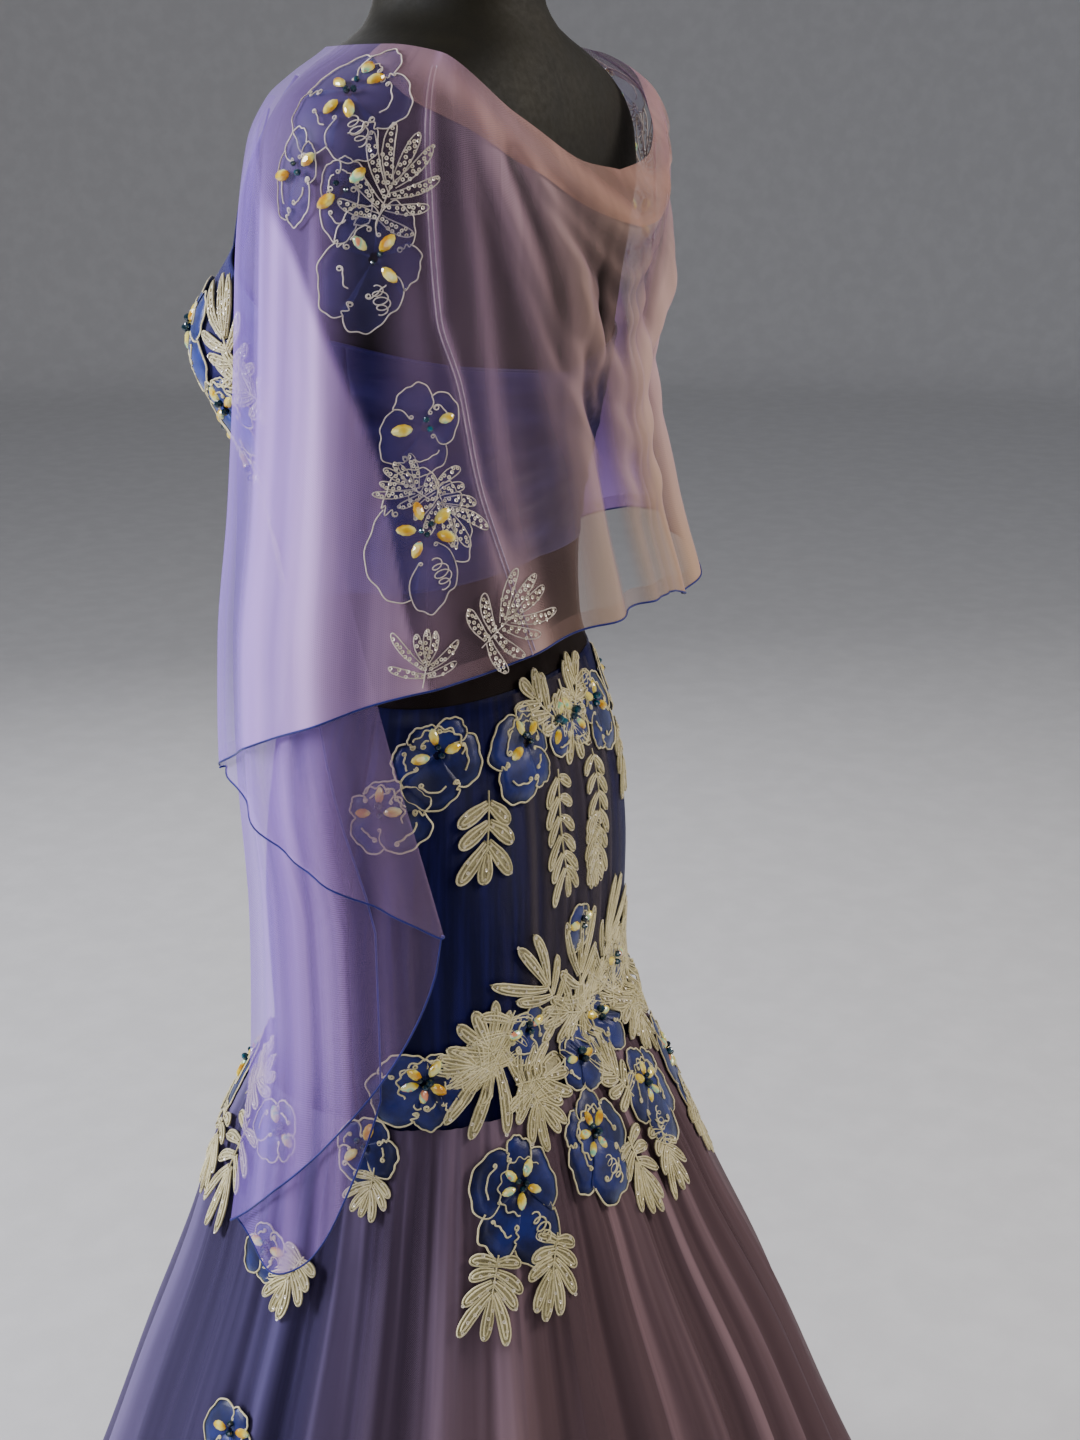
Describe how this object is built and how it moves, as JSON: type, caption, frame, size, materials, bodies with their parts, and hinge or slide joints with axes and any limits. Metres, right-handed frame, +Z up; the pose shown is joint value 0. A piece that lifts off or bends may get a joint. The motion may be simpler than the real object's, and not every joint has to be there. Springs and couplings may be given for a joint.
{
  "type": "mermaid prom dress on a dress form",
  "caption": "Floor-length mermaid gown with a fitted bodice, flared gathered skirt and sheer draped cape, worn by a limbless dress form on a stand.",
  "frame": {"origin": "centre of the stand's underside, on the floor", "axes": "+Z up, the dress's front faces -Y, the wearer's left side is +X"},
  "size_m": [0.9085, 0.8942, 1.56],
  "materials": {
    "form_black": "smooth, near-black olive",
    "stand_metal": "satin black",
    "violet_satin": "ruched violet-blue chiffon over satin",
    "navy_satin": "navy satin, soft sheen",
    "mauve_tulle": "gathered dusty mauve tulle",
    "cape_tulle": "sheer dusty lilac tulle with a rolled royal-blue hem",
    "waist_mesh": "sheer brown-black mesh",
    "blue_organza": "royal-blue organza petals, ivory cord outlines, stones",
    "ivory_lace": "ivory corded and sequined leaves"
  },
  "bodies": {
    "root": {"bodice_back": "violet_satin", "bodice_front": "violet_satin", "bodice_leaf": "ivory_lace", "cape_back": "cape_tulle", "cape_cascade_left": "cape_tulle", "cape_cascade_right": "cape_tulle", "cape_flower_high_left": "blue_organza", "cape_flower_high_right": "blue_organza", "cape_flower_low_left": "blue_organza", "cape_flower_low_right": "blue_organza", "cape_side_left": "cape_tulle", "cape_side_right": "cape_tulle", "cup_flower_left": "blue_organza", "cup_flower_right": "blue_organza", "flounce_1": "mauve_tulle", "flounce_2": "mauve_tulle", "flounce_3": "mauve_tulle", "flounce_4": "mauve_tulle", "flounce_5": "mauve_tulle", "flounce_6": "mauve_tulle", "flounce_7": "mauve_tulle", "form_base": "stand_metal", "form_pole": "stand_metal", "form_torso": "form_black", "hip_flower_left": "blue_organza", "hip_flower_rear_left": "blue_organza", "hip_flower_rear_right": "blue_organza", "hip_flower_right": "blue_organza", "hip_leaf_left": "ivory_lace", "hip_leaf_right": "ivory_lace", "hip_vine_left": "ivory_lace", "hip_vine_right": "ivory_lace", "lining_back": "navy_satin", "lining_front": "navy_satin", "skirt_back": "navy_satin", "skirt_front": "navy_satin", "strap_left": "violet_satin", "strap_right": "violet_satin", "thigh_drop_leaf_left": "ivory_lace", "thigh_drop_leaf_right": "ivory_lace", "thigh_drop_left": "blue_organza", "thigh_drop_right": "blue_organza", "thigh_flower_rear_left": "blue_organza", "thigh_flower_rear_right": "blue_organza", "thigh_flower_side_left": "blue_organza", "thigh_flower_side_right": "blue_organza", "thigh_front_leaf_left": "ivory_lace", "thigh_front_leaf_right": "ivory_lace", "thigh_front_left": "blue_organza", "thigh_front_right": "blue_organza", "thigh_leaf_high_left": "ivory_lace", "thigh_leaf_high_right": "ivory_lace", "thigh_leaf_rear": "ivory_lace", "thigh_leaf_side_left": "ivory_lace", "thigh_leaf_side_right": "ivory_lace", "waist_mesh_left": "waist_mesh", "waist_mesh_right": "waist_mesh"}
  },
  "joints": []
}
